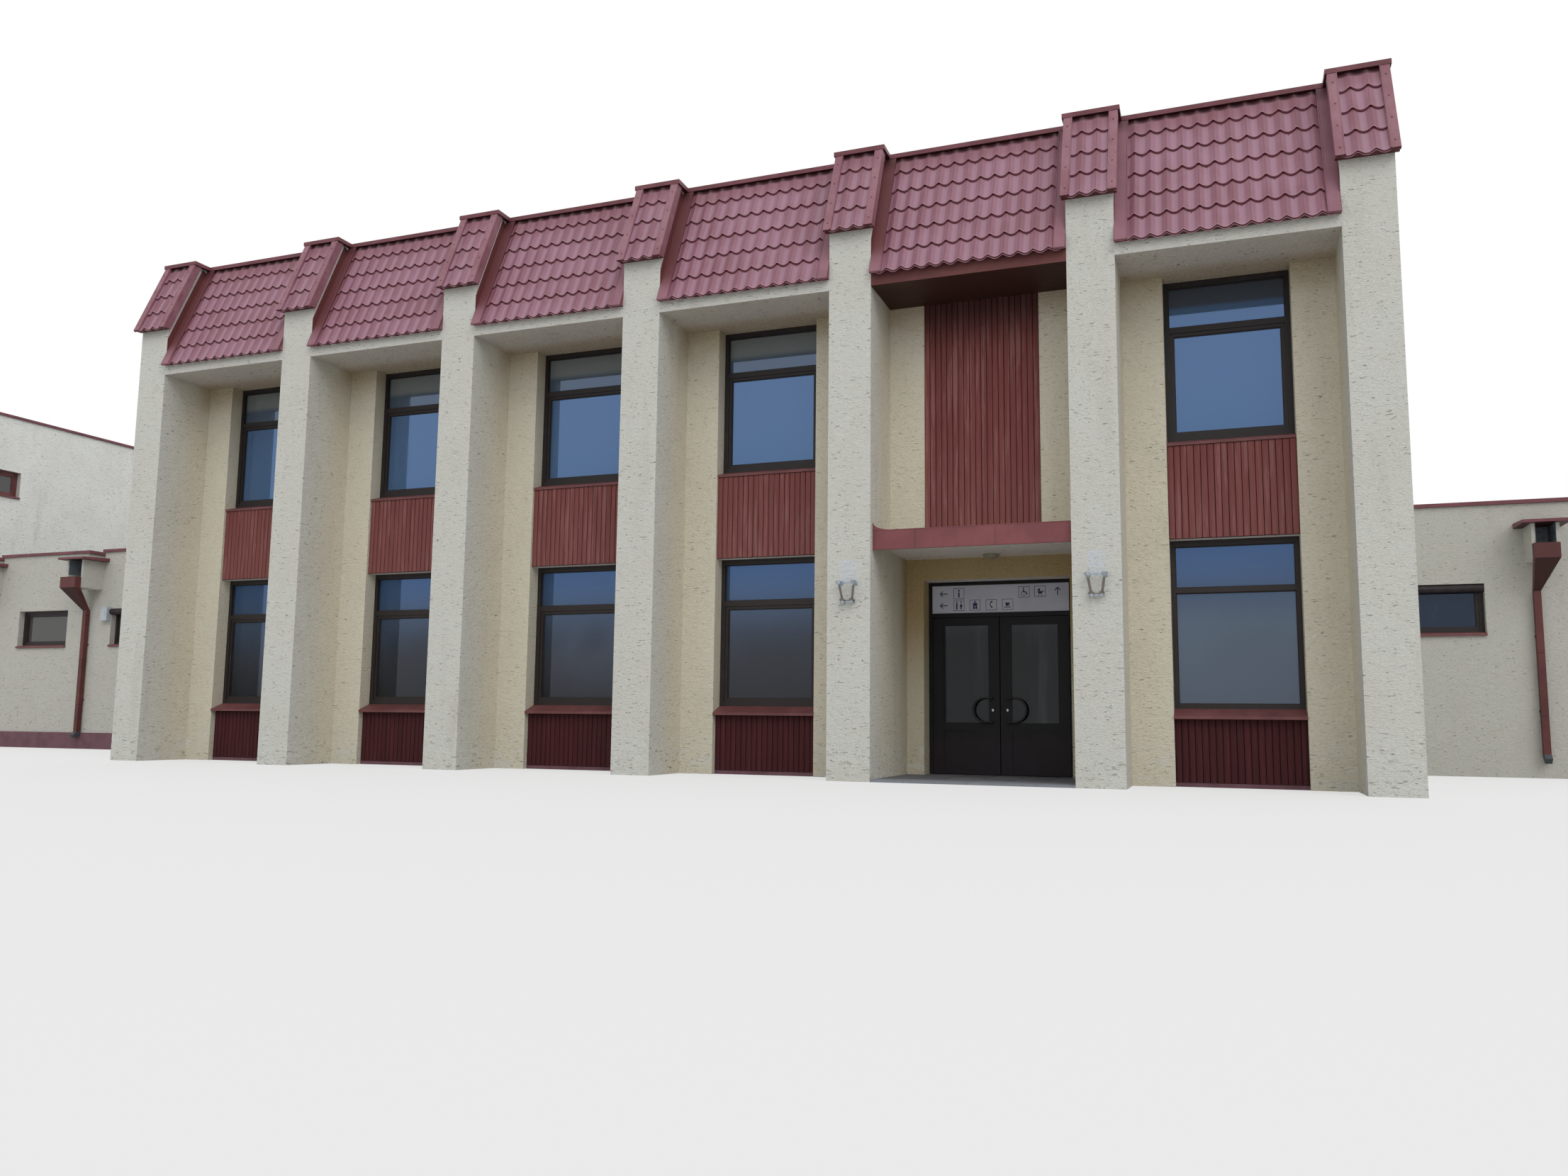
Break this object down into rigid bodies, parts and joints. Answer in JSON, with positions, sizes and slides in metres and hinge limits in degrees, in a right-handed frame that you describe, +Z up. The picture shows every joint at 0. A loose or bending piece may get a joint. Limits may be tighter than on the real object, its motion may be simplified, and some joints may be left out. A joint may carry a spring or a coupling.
{
  "type": "railway station building",
  "caption": "Station hall with deep piers, a tiled mansard edge and a recessed entrance with swinging glazed doors, between lower flat-roofed wings and a taller side block.",
  "frame": {"origin": "on the ground, under the middle of the whole building's bounding box", "axes": "+X to the right along the front, -Y out of the front, +Z up"},
  "size_m": [38.64, 12.1899, 8.327],
  "materials": {
    "render": "weathered cement render",
    "floor": "smooth concrete",
    "roof": "bitumen on concrete",
    "tile": "satin coated metal tiles",
    "board": "weathered coated boards",
    "dark_board": "dark coated boards",
    "plinth": "painted render",
    "frame": "dark brown frames",
    "glass": "clear double glazing",
    "door": "satin near-black",
    "steel": "galvanised",
    "lamp": "white opal",
    "sign": "satin light grey",
    "paving": "honed grey slabs"
  },
  "bodies": {
    "building": {"ground_floors": "floor", "upper_floors": "floor", "roof_decks": "roof", "front_piers": "render", "front_wall": "render", "entrance_upper_wall": "render", "entrance_return_walls": "render", "entrance_wall_left": "render", "entrance_wall_right": "render", "entrance_wall_over": "render", "end_walls": "render", "rear_walls": "render", "wing_front_walls": "render", "spandrel_panels": "board", "apron_panels": "dark_board", "entrance_panel": "board", "plinths": "plinth", "front_window_frames": "frame", "rear_window_frames": "frame", "wing_window_frames": "frame", "window_glass": "glass", "window_sills": "tile", "eaves_slabs": "render", "entrance_eaves": "tile", "bay_mansards": "tile", "pier_caps": "tile", "roof_copings": "tile", "canopy_slab": "render", "canopy_edge": "tile", "canopy_lamp": "lamp", "landing": "paving", "door_frame": "door", "door_sign": "sign", "flag_sockets": "steel", "shutter_boxes": "frame", "spout_boxes": "render", "spout_caps": "tile", "downpipes": "tile", "side_window_frame": "tile", "wall_box": "lamp"},
    "left_door": {"left_door_leaf": "door", "left_door_glass": "glass", "left_door_handles": "door"},
    "right_door": {"right_door_leaf": "door", "right_door_glass": "glass", "right_door_handles": "door"}
  },
  "joints": [
    {"name": "left_door_hinge", "type": "hinge", "parent": "building", "child": "left_door", "pos_m": [8.5705, -3.857, 1.104], "axis": [0, 0, -1], "range_deg": [0, 90]},
    {"name": "right_door_hinge", "type": "hinge", "parent": "building", "child": "right_door", "pos_m": [10.4295, -3.857, 1.104], "axis": [0, 0, 1], "range_deg": [0, 90]}
  ]
}
